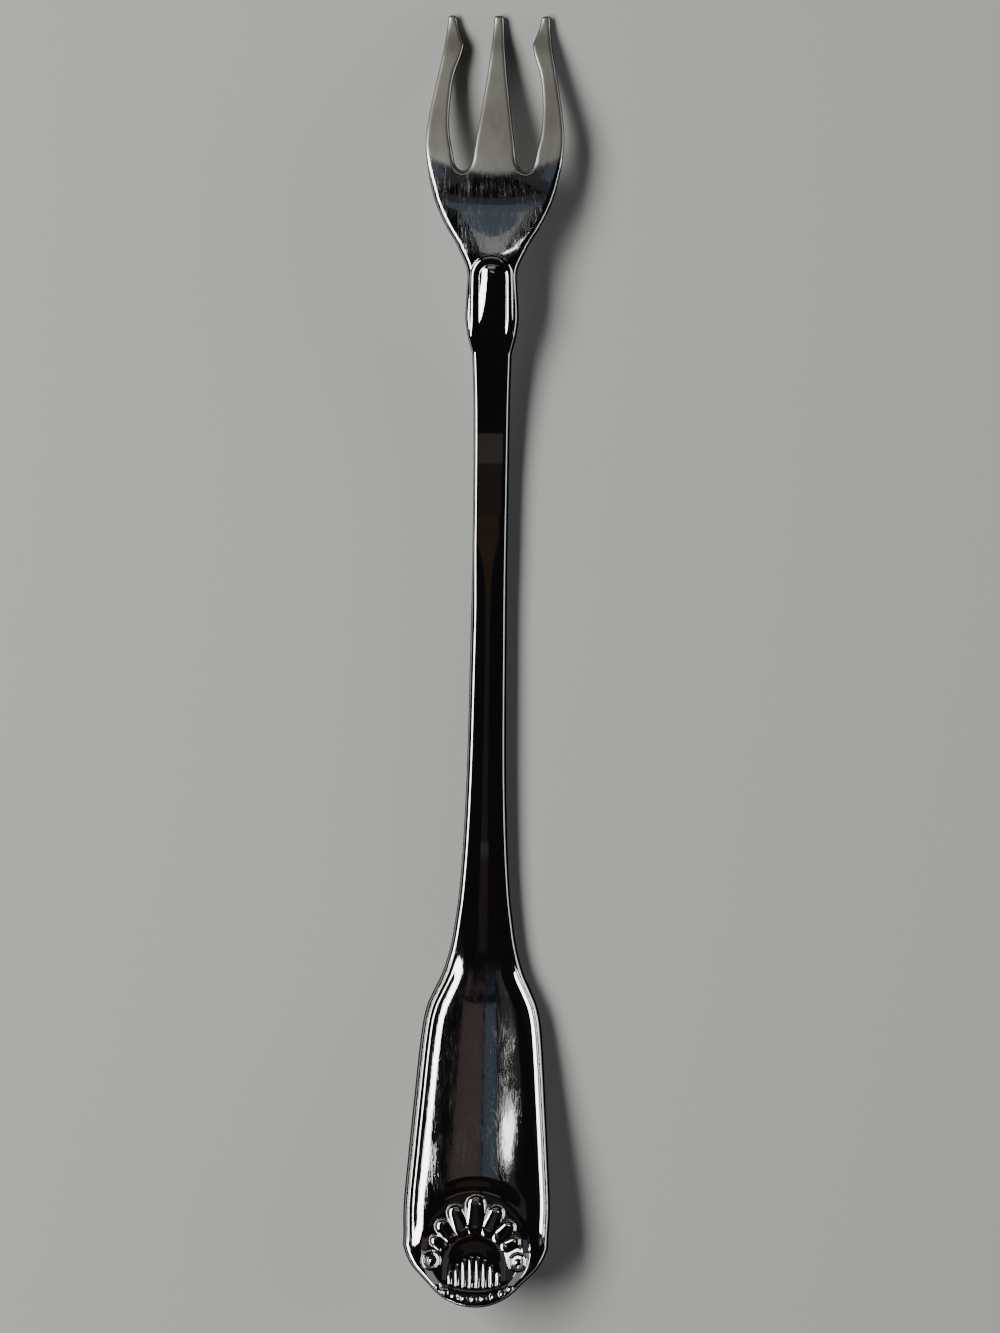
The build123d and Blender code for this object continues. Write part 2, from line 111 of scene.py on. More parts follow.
centreEdgeShares = [(0, 0), (0.2, 0.13), (0.5, 0.46), (0.72, 0.75), (0.88, 0.96)]
bowEdgeShares = [(0.095, 0.22), (0.19, 0.56), (0.37, 0.9), (0.55, 1), (0.75, 0.86), (0.87, 0.6)]


def rows(start, length, low, high, shares):
    return [(start + length * place, low + (high - low) * size) for place, size in shares]


def eased(table, place):  # value of a table of (place, value) rows, eased from row to row
    places, values = (np.array(column, float) for column in zip(*table))
    step = np.diff(places)
    rise = np.diff(values) / step
    slopes = np.zeros(len(places))
    before, after = rise[:-1], rise[1:]
    same = before * after > 0
    slopes[1:-1][same] = 2 * before[same] * after[same] / (before[same] + after[same])
    place = np.clip(place, places[0], places[-1])
    i = np.clip(np.searchsorted(places, place, side="right") - 1, 0, len(step) - 1)
    t = (place - places[i]) / step[i]
    ease = values[i] + (values[i + 1] - values[i]) * t * t * (3 - 2 * t)
    return ease + step[i] * t * (1 - t) * ((1 - t) * slopes[i] - t * slopes[i + 1])


def smoothStep(value):
    value = np.clip(value, 0, 1)
    return value * value * (3 - 2 * value)


halfWidths = (
    rows(0, headStart, body["tipSpread"] / 2, body["headWidth"] / 2, tineWidthShares)
    + rows(headStart, neckStart - headStart, body["neckWidth"] / 2, body["headWidth"] / 2, headWidthShares)
    + rows(neckStart, neckLength, body["shankWidth"] / 2, body["bulgeWidth"] / 2, neckWidthShares)
    + rows(shankStart, shankLength, body["shankWidth"] / 2, body["handleRootWidth"] / 2, shankWidthShares)
    + rows(handleStart, handleLength, body["handleRootWidth"] / 2, handleWidth / 2, handleWidthShares)
)
faceHeights = (
    rows(0, headStart, 0, body["headRise"], headRiseShares)
    + rows(neckStart, body["neckFallLength"], 0, body["headRise"], headFallShares)
    + [(handleStart - shankLength / 2, -body["landSink"])]
    + rows(handleStart, handleLength, -body["landSink"], body["handleRise"], handleRiseShares)
)
thicknesses = [
    (0, 1.1),
    (headStart / 3, 1.65),
    (headStart, 1.65),
    ((headStart + neckStart) / 2, 2.0),
    (neckStart + neckLength / 5, 2.9),
    (shankStart, 3.0),
    (handleStart - shankLength / 5, 3.0),
    (handleStart + handleLength / 4, 2.5),
    (totalLength, 2.1),
]


def alongFork(tine, head, shank, grip, handle):  # one value for each stretch of the fork
    return [
        (0, tine),
        (headStart * 7 / 8, tine),
        (headStart + (neckStart - headStart) / 3, head),
        (neckStart, head),
        (shankStart, shank),
        (shankStart + shankLength / 3, shank),
        (shankStart + shankLength / 2, grip),
        (handleStart, grip),
        (handleStart + handleLength / 3, handle),
        (totalLength, handle),
    ]


edges = {
    "crown": alongFork(0.04, 0.35, 0.03, 0.2, 0.85),
    "bevelWidth": alongFork(0.25, 0.42, 0.3, 0.4, 0.3),
    "bevelHeight": alongFork(0.07, 0.2, 0.17, 0.2, 0.16),
    "sideRound": alongFork(0.07, 0.12, 0.14, 0.16, 0.2),  # how far the side bulges out
    "bevelSoftness": 0.05,
    "edgeRound": 0.12,
    "faceBevel": 0.3,
    "wallTurn": math.radians(30),
}


def halfWidth(place):
    return eased(halfWidths, place)


def faceLevel(place):
    level = eased(faceHeights, place)
    return np.maximum(level, body["faceClearance"])  # the land is flat


def backLevel(place):
    return eased(faceHeights, place) + eased(thicknesses, place)


def smoothCurve(points, count):  # a curve through all the points, with no kinks
    points = np.array(points, float)
    length = np.concatenate([[0], np.cumsum(np.hypot(*np.diff(points, axis=0).T))])
    n = len(points)
    gap = np.diff(length)
    system = np.zeros((n, n))
    system[0, 0] = system[-1, -1] = 1
    sums = np.zeros((n, 2))
    for i in range(1, n - 1):
        system[i, i - 1], system[i, i], system[i, i + 1] = gap[i - 1], 2 * (gap[i - 1] + gap[i]), gap[i]
        sums[i] = 6 * ((points[i + 1] - points[i]) / gap[i] - (points[i] - points[i - 1]) / gap[i - 1])
    bend = np.linalg.solve(system, sums)
    at = np.linspace(0, length[-1], count)
    i = np.clip(np.searchsorted(length, at, side="right") - 1, 0, n - 2)
    h = gap[i][:, None]
    a = (length[i + 1] - at)[:, None] / h
    b = 1 - a
    return a * points[i] + b * points[i + 1] + ((a**3 - a) * bend[i] + (b**3 - b) * bend[i + 1]) * h * h / 6


def arcThrough(first, middle, last, count):
    (ax, ay), (bx, by), (cx, cy) = first, middle, last
    d = 2 * (ax * (by - cy) + bx * (cy - ay) + cx * (ay - by))
    a2, b2, c2 = ax * ax + ay * ay, bx * bx + by * by, cx * cx + cy * cy
    ox = (a2 * (by - cy) + b2 * (cy - ay) + c2 * (ay - by)) / d
    oy = (a2 * (cx - bx) + b2 * (ax - cx) + c2 * (bx - ax)) / d
    turns = np.unwrap([math.atan2(y - oy, x - ox) for x, y in (first, middle, last)])
    turn = np.linspace(turns[0], turns[2], count)
    radius = math.hypot(ax - ox, ay - oy)
    return np.stack([ox + radius * np.cos(turn), oy + radius * np.sin(turn)], 1)


def roundedJoin(first, second, cut):  # two polylines that meet in a corner, joined by a small round
    def cutBack(line):
        run = np.concatenate([[0], np.cumsum(np.hypot(*np.diff(line, axis=0).T))])
        keep = run > cut
        start = np.array([np.interp(cut, run, line[:, 0]), np.interp(cut, run, line[:, 1])])
        return np.vstack([start, line[keep]])

    corner = second[0]
    before = cutBack(first[::-1])[::-1]
    after = cutBack(second)
    t = np.linspace(0, 1, 7)[1:-1, None]
    turn = (1 - t) ** 2 * before[-1] + 2 * t * (1 - t) * corner + t * t * after[0]
    return np.vstack([before, turn, after])


handleEnd = {
    "roundLength": 9.8,
    "cornerShares": [(1.012, 0), (0.955, 0.36), (0.838, 0.54)],
    "notchShare": (0.612, 0.742),
}


def endPoint(shares):
    across, along = shares
    return across * handleWidth / 2, totalLength - handleEnd["roundLength"] * (1 - along)


notchX, notchPlace = endPoint(handleEnd["notchShare"])
endArcRadius = (notchX**2 + (totalLength - notchPlace) ** 2) / (2 * (totalLength - notchPlace))


def rightOutline():  # right half of the plan, from the tip of the centre tine round to the handle's end
    tipInner = body["tipSpread"] / 2 - tines["outerTipWidth"]
    slotEnd = headStart + tines["slotOverlap"]
    inset, radius = tines["slotEndInset"], tines["slotEndRadius"]
    lift = radius * math.sin(math.pi / 4)
    low, high = tines["centreTipWidth"] / 2, tines["centreRootWidth"] / 2
    centre = [(x, place) for place, x in rows(0, slotEnd, low, high, centreEdgeShares)]
    bowLength = slotEnd - tines["barbPlace"]
    bow = rows(tines["barbPlace"], bowLength, tines["barbInset"], tines["slotBow"], bowEdgeShares)
    shoulder = slotEnd - radius + lift
    root = [(inset - lift, shoulder), (inset, slotEnd), (inset + lift, shoulder)]
    barb = (tines["barbInset"], tines["barbPlace"])
    bow = [(x, place) for place, x in reversed(bow)]
    wall = smoothCurve(centre + root + bow + [barb], density["slotPoints"])
    hollow = (tipInner - barb[0]) / 10
    middle = ((barb[0] + tipInner) / 2 + hollow, barb[1] / 2)
    barbBack = arcThrough(barb, middle, (tipInner, 0), density["barbPoints"])
    tipEnd = np.array([(tipInner, 0), (body["tipSpread"] / 2, 0)])
    centreEnd = np.array([(0, 0), (low, 0)])
    cornerStart = totalLength - handleEnd["roundLength"]
    headPlaces = np.arange(0, neckStart, density["headSideStep"])
    places = np.concatenate([headPlaces, np.arange(neckStart, cornerStart, density["sideStep"])])
    side = np.stack([halfWidth(places), places], 1)
    cornerEnds = [endPoint(shares) for shares in handleEnd["cornerShares"]]
    corner = arcThrough(*cornerEnds, density["cornerPoints"])
    corner[:, 0] = np.minimum(corner[:, 0], halfWidth(corner[:, 1]))
    turn = np.linspace(math.asin(notchX / endArcRadius), 0, density["cornerPoints"])
    endArc = np.stack([endArcRadius * np.sin(turn), totalLength - endArcRadius * (1 - np.cos(turn))], 1)
    line = roundedJoin(centreEnd, wall, tines["tipRounding"])
    line = roundedJoin(line, barbBack, tines["barbRounding"])
    line = roundedJoin(line, tipEnd, tines["tipRounding"])
    line = roundedJoin(line, side, tines["tipRounding"])
    notchRun = np.linspace(corner[-1], endArc[0], density["notchPoints"])
    return np.vstack([line, corner, notchRun[1:], endArc[1:]])


def resampled(line, spacing):  # spacing is a function of place
    run = np.concatenate([[0], np.cumsum(np.hypot(*np.diff(line, axis=0).T))])
    stops = [0.0]
    while stops[-1] < run[-1]:
        stops.append(stops[-1] + spacing(np.interp(stops[-1], run, line[:, 1])))
    stops = np.array(stops) * run[-1] / stops[-1]
    return np.stack([np.interp(stops, run, line[:, 0]), np.interp(stops, run, line[:, 1])], 1)


density = {
    "tines": 0.16,
    "neck": 0.1,
    "shank": 0.45,
    "handle": 0.28,
    "end": 0.09,
    "neckMargin": 1.0,
    "endLength": 15.0,
    "headSideStep": 0.2,
    "sideStep": 0.1,
    "slotPoints": 240,
    "barbPoints": 20,
    "cornerPoints": 60,
    "notchPoints": 24,
    "wallColumns": 9,
    "borderColumns": 60,
    "borderWidth": 2.8,
    "borderShare": 0.55,  # most of the half width that the border's columns take
    "borderPower": 1.15,  # above 1, the columns crowd towards the edge
    "innerColumns": 44,
    "normalReach": 5,
    "neckTurn": 1.5,
    "axisEnd": 1.5,
}


def rowSpacing(place):
    if place < neckStart - density["neckMargin"]:
        return density["tines"]
    if place < shankStart + density["neckMargin"]:
        return density["neck"]
    if place < handleStart:
        return density["shank"]
    return density["handle"] if place < totalLength - density["endLength"] else density["end"]


def insideNormals(line, reach=1):  # unit vectors that point into the metal
    ahead = np.roll(line, -reach, 0)
    behind = np.roll(line, reach, 0)
    ahead[-reach:] = line[-1]
    behind[:reach] = line[0]
    along = ahead - behind
    along /= np.hypot(*along.T)[:, None]
    return np.stack([-along[:, 1], along[:, 0]], 1)


outline = resampled(rightOutline(), rowSpacing)
outline[0] = (0, 0)
outline[-1] = (0, totalLength)
inward = insideNormals(outline)
inward[0] = (0, 1)
inward[-1] = (0, -1)


def edgeDistance(points):  # distance from the outline, and the way into the metal there
    a, b = outline[:-1], outline[1:]
    run = b - a
    square = (run**2).sum(1)
    distance = np.empty(len(points))
    normal = np.empty((len(points), 2))
    batch = 1500
    for start in range(0, len(points), batch):
        p = points[start:start + batch, None, :]
        t = np.clip(((p - a) * run).sum(2) / square, 0, 1)
        gap = p - (a + t[..., None] * run)
        reach = (gap**2).sum(2)
        nearest = reach.argmin(1)
        pick = np.arange(len(nearest))
        share = t[pick, nearest][:, None]
        way = inward[nearest] * (1 - share) + inward[nearest + 1] * share
        distance[start:start + batch] = np.sqrt(reach[pick, nearest])
        normal[start:start + batch] = way / np.hypot(*way.T)[:, None]
    return distance, normal


drop = {
    "archStart": neckStart + 0.55,
    "archHalfWidth": 2.18,
    "ridgeWidth": 0.84,
    "ridgeHeight": 0.17,
    "end": shankStart - 0.8,
    "fadeLength": 4.5,
    "tongueStart": neckStart + 1.7,
    "tongueHalfWidth": 1.45,
    "tongueHeight": 0.36,
}


def dome(distance, radius):  # round bump, from 1 in the middle to 0 at its radius
    return np.clip(1 - (distance / radius) ** 2, 0, 1)


def dropRelief(x, place):  # arched ridge round a raised tongue
    middle = drop["archStart"] + drop["ridgeWidth"] / 2 + drop["archHalfWidth"]
    around = np.where(place < middle, np.hypot(x, place - middle), np.abs(x))
    fade = smoothStep((drop["end"] - place) / drop["fadeLength"])
    ridge = drop["ridgeHeight"] * dome(around - drop["archHalfWidth"], drop["ridgeWidth"] / 2) * fade
    front = drop["tongueStart"] + drop["tongueHalfWidth"]
    reach = np.where(place < front, np.hypot(x, place - front), np.abs(x))
    sink = np.clip((drop["end"] - place) / (drop["end"] - front), 0, 1)
    tongue = drop["tongueHeight"] * dome(reach, drop["tongueHalfWidth"]) * sink
    return np.maximum(ridge, tongue)


threads = {
    "start": handleStart + 6.5,
    "taper": 4.0,
    "endGap": 2.0,
    "fieldRise": 0.022,
    # distance from the edge, and level over the plain back
    "profile": [
        (0.3, -0.12),
        (0.5, -0.12),
        (0.6, -0.2),
        (0.7, -0.12),
        (0.74, -0.12),
        (0.86, -0.18),
        (1.0, -0.26),
        (1.12, -0.31),
        (1.16, -0.31),
        (1.3, -0.28),
        (1.5, -0.2),
        (1.7, -0.13),
        (1.8, -0.1),
        (2.0, -0.048),
        (2.25, -0.008),
        (2.5, 0.012),
        (2.9, 0.02),
        (3.3, 0.022),
    ],
}


def threadRelief(x, place, distance):  # two fine threads along the edge, and the rounded field inside them
    last = endPoint(handleEnd["cornerShares"][2])[1] - threads["endGap"]
    fade = smoothStep(np.minimum(place - threads["start"], last - place) / threads["taper"])
    level = eased(threads["profile"], distance)
    fieldEdge, fieldFlat = threads["profile"][-2][0], threads["profile"][-1][0]
    field = threads["fieldRise"] * (1 - smoothStep(np.abs(x) / (halfWidth(place) - fieldFlat)))
    return (level - np.where(distance > fieldEdge, field, 0)) * fade


shell = {
    "rim": 0.25,
    "sink": 0.1,
    "sinkWidth": 1.2,
    "fanOffset": 1.95,
    "hubRadius": 3.9,
    "hubDepth": 0.04,
    "hubFall": 0.06,
    "hubFallLength": 4.5,
    "hubSlope": 2.5,
    "lobeStart": 4.1,
    "lobeInset": 0.25,
    "lobeHalfWidth": 1.25,
    "lobeHeight": 0.42,
    "lobeStartHeight": 0.15,
    "turns": [0, 21.3, 41, 59],
    "lengthShares": [1, 0.92, 0.83, 0.745],
    "widthShares": [1, 0.86, 0.74, 0.6],
    "voluteAcross": 5.2,
    "voluteOffset": 1.45,
    "voluteRing": 0.98,
    "voluteWire": 0.24,
    "voluteEye": 0.42,
    "voluteHeight": 0.17,
    "fluteCount": 8,
    "flutePitch": 0.82,
    "fluteRadius": 0.24,
    "fluteHeight": 0.13,
    "fluteHeadShare": 0.15,
    "fluteOffset": 0.85,
    "fluteArcRadius": 2.2,
    "fluteGap": 0.35,
    "ribInset": 1.67,
    "ribArcRadius": 10.9,
    "ribWidth": 0.2,
    "ribHeight": 0.1,
    "ribReach": 4.1,
    "ribFade": 0.25,
    "beadCount": 9,
    "beadInset": 0.79,
    "beadArcRadius": 8.1,
    "beadRadius": 0.4,
    "beadHeight": 0.17,
    "beadTurn": 33.0,
    "faceShare": 0.7,  # height of the face's shell, as a share of the back's
}
shellPlace = totalLength - endArcRadius
shellRadius = endArcRadius - shell["rim"]


def fanRelief(u, v):  # lobes that spread from a point below the middle of the field
    relief = np.zeros(len(u))
    full = shellRadius - shell["lobeInset"] + shell["fanOffset"]
    for turn, lengthShare, widthShare in zip(shell["turns"], shell["lengthShares"], shell["widthShares"]):
        halfWide = shell["lobeHalfWidth"] * widthShare
        first, last = shell["lobeStart"] + halfWide / 2, full * lengthShare - halfWide
        across, along = math.sin(math.radians(turn)), math.cos(math.radians(turn))
        reach = u * across + (v + shell["fanOffset"]) * along
        side = u * along - (v + shell["fanOffset"]) * across
        beyond = np.maximum(reach - last, 0) + np.maximum(first - reach, 0)
        share = np.clip((reach - first) / (last - first), 0, 1)
        top = shell["lobeStartHeight"] + (shell["lobeHeight"] - shell["lobeStartHeight"]) * share
        spread = np.minimum((side**2 + beyond**2) / halfWide**2, 1)
        relief = np.maximum(relief, top * (1 - spread**2))
    return relief


def arcDrop(inset, arcRadius, across):  # how far a flat arc lies below the middle of the field
    return shellRadius - inset - arcRadius + np.sqrt(np.maximum(arcRadius**2 - across**2, 0))


def fluteRelief(u, v):  # upright ribs with their heads on an arch and their feet on the rib below
    nearest = np.clip(np.floor(u / shell["flutePitch"]) + 0.5, 0.5, (shell["fluteCount"] - 1) / 2)
    middle = nearest * shell["flutePitch"]
    radius = shell["fluteRadius"]
    top = -shell["fluteOffset"] - middle**2 / (2 * shell["fluteArcRadius"]) - radius
    bottom = radius + shell["fluteGap"] - arcDrop(shell["ribInset"], shell["ribArcRadius"], middle)
    beyond = np.maximum(v - top, 0) + np.maximum(bottom - v, 0)
    head = shell["fluteHeadShare"]
    grown = head + (1 - head) * np.clip((top - v) / (top - bottom), 0, 1)
    return shell["fluteHeight"] * grown * dome(np.hypot(u - middle, beyond), radius)


def footRelief(u, v):  # rib across the feet of the flutes, and the beads below it
    gap = v + arcDrop(shell["ribInset"], shell["ribArcRadius"], u)
    ends = smoothStep((shell["ribReach"] - u) / shell["ribFade"])
    relief = shell["ribHeight"] * dome(gap, shell["ribWidth"]) * ends
    centre = shell["beadArcRadius"] - arcDrop(shell["beadInset"], shell["beadArcRadius"], 0)
    turn = np.degrees(np.arctan2(u, centre - v))
    step = 2 * shell["beadTurn"] / (shell["beadCount"] - 1)
    beadTurn = np.radians(np.clip(np.round(turn / step) * step, 0, shell["beadTurn"]))
    beadX = shell["beadArcRadius"] * np.sin(beadTurn)
    beadV = centre - shell["beadArcRadius"] * np.cos(beadTurn)
    bead = shell["beadHeight"] * dome(np.hypot(u - beadX, v - beadV), shell["beadRadius"])
    return np.maximum(relief, bead)


def shellRelief(x, place, full):  # the shell on its round field, plainer where it isn't full
    u, v = np.abs(x), shellPlace - place
    reach = np.hypot(u, v)
    near = reach < shellRadius
    u, v = u[near], v[near]
    ring = np.hypot(u - shell["voluteAcross"], v + shell["voluteOffset"])
    coil, eye = dome(ring - shell["voluteRing"], shell["voluteWire"]), dome(ring, shell["voluteEye"])
    volute = np.maximum(coil, eye)
    relief = np.maximum(fanRelief(u, v), shell["voluteHeight"] * volute)
    if full:
        relief = np.maximum(relief, np.maximum(fluteRelief(u, v), footRelief(u, v)))
    hubGap = shell["hubRadius"] - np.hypot(u, np.maximum(v + shell["fanOffset"], 0))
    hub = smoothStep(hubGap / shell["hubSlope"])
    sink = smoothStep((shellRadius - reach[near]) / shell["sinkWidth"])
    fall = np.clip(shell["hubRadius"] - shell["fanOffset"] - v, 0, shell["hubFallLength"])
    result = np.zeros_like(x)
    result[near] = relief - shell["sink"] * sink - hub * (shell["hubDepth"] + shell["hubFall"] * fall)
    return result


def bevelDrop(distance, width, height):  # soft bevel along the edge, with a small round outside it
    soft = edges["bevelSoftness"]
    bevel = height / width * soft * np.logaddexp(0, (width - distance) / soft)
    radius = edges["edgeRound"]
    rounded = np.clip(1 - np.maximum(distance, 0) / radius, 0, 1)
    return bevel + radius * 0.5 * rounded**2


swell = {  # low rise of the handle above the shell
    "place": 139.0,
    "length": 5.5,
    "height": 0.11,
    "halfWidth": 3.5,
    "fade": 3.0,
    "shellFade": 2.0,
}


def swellRise(x, place):
    along = np.exp(-(((place - swell["place"]) / swell["length"]) ** 2))
    aside = 1 - smoothStep((np.abs(x) - swell["halfWidth"]) / swell["fade"])
    clear = smoothStep((np.hypot(x, place - shellPlace) - shellRadius) / swell["shellFade"])
    return swell["height"] * along * aside * clear


def backHeight(x, place, distance):
    crown = eased(edges["crown"], place) * (x / halfWidth(place)) ** 2
    side = eased(edges["sideRound"], place)
    bevel = bevelDrop(distance - side, eased(edges["bevelWidth"], place), eased(edges["bevelHeight"], place))
    relief = dropRelief(x, place) + threadRelief(x, place, distance) + shellRelief(x, place, True)
    return backLevel(place) - crown - bevel + relief + swellRise(x, place)


def faceHeight(x, place, distance):
    side = eased(edges["sideRound"], place)
    bevel = bevelDrop(distance - side, edges["faceBevel"], edges["faceBevel"] / 2)
    relief = threadRelief(x, place, distance) + shellRelief(x, place, False) * shell["faceShare"]
    return faceLevel(place) + bevel - relief


def surface(points, heightOf, up):  # heights and unit normals at points (across, place)
    distance, way = edgeDistance(points)
    x, place = points[:, 0], points[:, 1]
    nudge = 0.004

    def slope(dx, dPlace, dEdge):
        ahead = heightOf(x + dx, place + dPlace, distance + dEdge)
        return (ahead - heightOf(x - dx, place - dPlace, distance - dEdge)) / (2 * nudge)

    level = heightOf(x, place, distance)
    perX, perPlace, perEdge = slope(nudge, 0, 0), slope(0, nudge, 0), slope(0, 0, nudge)
    slopeX = perX + perEdge * way[:, 0]
    slopePlace = perPlace + perEdge * way[:, 1]
    normals = np.stack([-slopeX, slopePlace, np.ones(len(x))], 1) * (1 if up else -1)
    normals /= np.linalg.norm(normals, axis=1)[:, None]
    return np.stack([x, tipY - place, level], 1), normals


sideRound = eased(edges["sideRound"], outline[:, 1])
inner = outline + inward * sideRound[:, None]


def snapCrossed(points, wanted):  # an inset point that has crossed a corner moves to its neighbour
    closest = 0.96
    distance, _ = edgeDistance(points)
    good = np.flatnonzero(distance > closest * wanted)
    index = np.arange(len(points))
    nearest = good[np.abs(index[:, None] - good[None, :]).argmin(1)]
    return points[nearest]


forkEnd = int(np.flatnonzero((outline[:, 1] < neckStart) & (outline[:, 0] > body["neckWidth"] / 2))[-1]) + 1
inner[:forkEnd] = snapCrossed(inner[:forkEnd], sideRound[:forkEnd])


def wall(first, last):  # rounded side between the two surfaces, along part of the outline
    top, topNormals = surface(inner[first:last + 1], backHeight, True)
    low, lowNormals = surface(inner[first:last + 1], faceHeight, False)
    count = density["wallColumns"]
    turn0 = edges["wallTurn"]
    turns = np.linspace(turn0, math.pi - turn0, count + 1)
    middle, half = (top[:, 2] + low[:, 2]) / 2, (top[:, 2] - low[:, 2]) / 2
    out = -np.stack([inward[first:last + 1, 0], -inward[first:last + 1, 1]], 1)
    gap = (outline - inner)[first:last + 1] * (1, -1)
    reach = np.maximum(np.linalg.norm(gap, axis=1), 0.05)  # never quite flat
    verts, normals = [], []
    for turn in turns:
        share = (math.sin(turn) - math.sin(turn0)) / (1 - math.sin(turn0))
        across = np.stack([top[:, 0], top[:, 1]], 1) + gap * share
        level = middle + half * math.cos(turn) / math.cos(turn0)
        verts.append(np.column_stack([across, level]))
        flat = half / math.cos(turn0) * math.sin(turn)
        rise = reach / (1 - math.sin(turn0)) * math.cos(turn)
        way = np.column_stack([out * flat[:, None], rise])
        normals.append(way / np.linalg.norm(way, axis=1)[:, None])
    for end, other in ((0, topNormals), (-1, lowNormals)):
        soft = normals[end] + other
        normals[end] = soft / np.linalg.norm(soft, axis=1)[:, None]
    n = last - first + 1
    faces = [
        (j * n + i, (j + 1) * n + i, (j + 1) * n + i + 1, j * n + i + 1)
        for j in range(count)
        for i in range(n - 1)
    ]
    return np.vstack(verts), np.vstack(normals), faces


def ladderGrid():  # rows from the edge to the middle line, from the neck to the handle's end
    line, side = outline[forkEnd:], sideRound[forkEnd:]
    normal = insideNormals(outline, density["normalReach"])[forkEnd:]
    normal[-density["normalReach"]:] = (0, -1)
    straight = smoothStep((line[:, 1] - neckStart) / density["neckTurn"])[:, None]
    normal = normal * straight + np.array([-1.0, 0.0]) * (1 - straight)
    wide = np.minimum(density["borderWidth"], density["borderShare"] * halfWidth(line[:, 1]))
    borderStops = np.linspace(0, 1, density["borderColumns"]) ** density["borderPower"]
    innerStops = np.linspace(0, 1, density["innerColumns"] + 1)[1:]
    reach = side[:, None] + (wide - side)[:, None] * borderStops
    border = line[:, None, :] + normal[:, None, :] * reach[..., None]
    border[:, 0] = inner[forkEnd:]
    turnStart = int(np.flatnonzero(line[:, 1] < totalLength - handleEnd["roundLength"])[-1])
    axis = border[:, -1, 1].copy()
    rest = np.linspace(0, 1, len(line) - turnStart)
    lastPlace = shellPlace + density["axisEnd"]
    axis[turnStart:] = axis[turnStart] + (lastPlace - axis[turnStart]) * rest
    target = np.stack([np.zeros(len(line)), axis], 1)
    inside = border[:, -1:, :] + (target[:, None, :] - border[:, -1:, :]) * innerStops[None, :, None]
    inside[:, -1, 0] = 0
    return np.concatenate([border, inside], 1)


plan = {
    "axisStep": 0.3,
    "rings": [0.05, 0.11, 0.18, 0.27, 0.38, 0.52, 0.7, 0.92],  # rows of points, by their reach from the edge
    "sparseFrom": 0.3,  # the rows past this reach keep every second point
    "ringShare": 0.97,
    "seamGap": 0.03,
    "grid": 0.32,
    "gridGap": 1.05,
    "cutPoints": 12,
}


def ringPoints():  # rows of points that follow the edge of tines and head
    rings = []
    for step in plan["rings"]:
        stride = 1 if step < plan["sparseFrom"] else 2
        reach = sideRound[:forkEnd] + step
        ring = (outline[:forkEnd] + inward[:forkEnd] * reach[:, None])[::stride]
        distance, _ = edgeDistance(ring)
        clear = distance > plan["ringShare"] * reach[::stride]
        offSeam = (ring[:, 0] > plan["seamGap"]) & (ring[:, 1] < neckStart - plan["seamGap"])
        rings.append(ring[clear & offSeam])
    return rings


def gridPoints():  # staggered points over the rest of tines and head
    grid = plan["grid"]
    across = np.arange(grid / 2, body["headWidth"] / 2, grid)
    along = np.arange(grid / 2, neckStart - grid / 3, grid)
    x, place = np.meshgrid(across, along)
    x = x + grid / 2 * (np.arange(len(along)) % 2)[:, None]
    points = np.stack([x.ravel(), place.ravel()], 1)
    distance, _ = edgeDistance(points)
    clear = distance > plan["gridGap"] + eased(edges["sideRound"], points[:, 1])
    return points[clear & insideOutline(points)]


def planKey(point):
    return round(point[0], 4), round(point[1], 4)


def forkPlan():  # triangles over the right half of tines and head
    middleLine = [(0.0, place) for place in np.arange(neckStart - plan["axisStep"], 0.1, -plan["axisStep"])]
    loop, unique = [], {}
    for point in [*inner[:forkEnd + 1], *ladder[0][1:], *middleLine]:
        key = planKey(point)
        unique.setdefault(key, len(unique))
        if not loop or loop[-1] != unique[key]:
            loop.append(unique[key])
    verts = [Vector(key) for key in unique]
    constraints = [(loop[i], loop[(i + 1) % len(loop)]) for i in range(len(loop))]
    for points in [*ringPoints(), gridPoints()]:
        verts.extend(Vector(point) for point in points)
    cut = np.linspace(inner[bowCut], inner[sideCut], plan["cutPoints"] + 2)[1:-1]
    first, last = unique[planKey(inner[bowCut])], unique[planKey(inner[sideCut])]
    chain = [first, *range(len(verts), len(verts) + len(cut)), last]
    verts.extend(Vector(point) for point in cut)
    constraints += list(zip(chain[:-1], chain[1:]))
    result = geometry.delaunay_2d_cdt(verts, constraints, [], 1, 1e-5)
    flat = np.array([tuple(v) for v in result[0]])
    triangles = np.array([tuple(f) for f in result[2] if len(f) == 3])
    a, b, c = (flat[triangles[:, k]] for k in range(3))
    area = (b[:, 0] - a[:, 0]) * (c[:, 1] - a[:, 1]) - (b[:, 1] - a[:, 1]) * (c[:, 0] - a[:, 0])
    triangles[area < 0] = triangles[area < 0][:, ::-1]
    return flat, triangles[np.abs(area) > 1e-7]


def insideOutline(points):  # even-odd test against the right half of the outline
    loop = np.vstack([outline, [(0, totalLength)], [(0, 0)]])
    x, y = points.T
    inside = np.zeros(len(points), bool)
    for (ax, ay), (bx, by) in zip(loop[:-1], loop[1:]):
        if ay == by:
            continue
        crosses = (ay > y) != (by > y)
        inside ^= crosses & (x < ax + (y - ay) * (bx - ax) / (by - ay))
    return inside


def crossing(place, low, high):  # the outline point between two indices that lies nearest a place
    return low + int(np.abs(outline[low:high, 1] - place).argmin())


slotTop = int(outline[:forkEnd // 2, 1].argmax())
tipIndex = slotTop + int(outline[slotTop:forkEnd, 1].argmin())
centreCut = crossing(headStart, 0, slotTop)
bowCut = crossing(headStart, slotTop, tipIndex)
sideCut = crossing(headStart, tipIndex, forkEnd)

ladder = ladderGrid()
print("outline", len(outline), "ladder", ladder.shape)


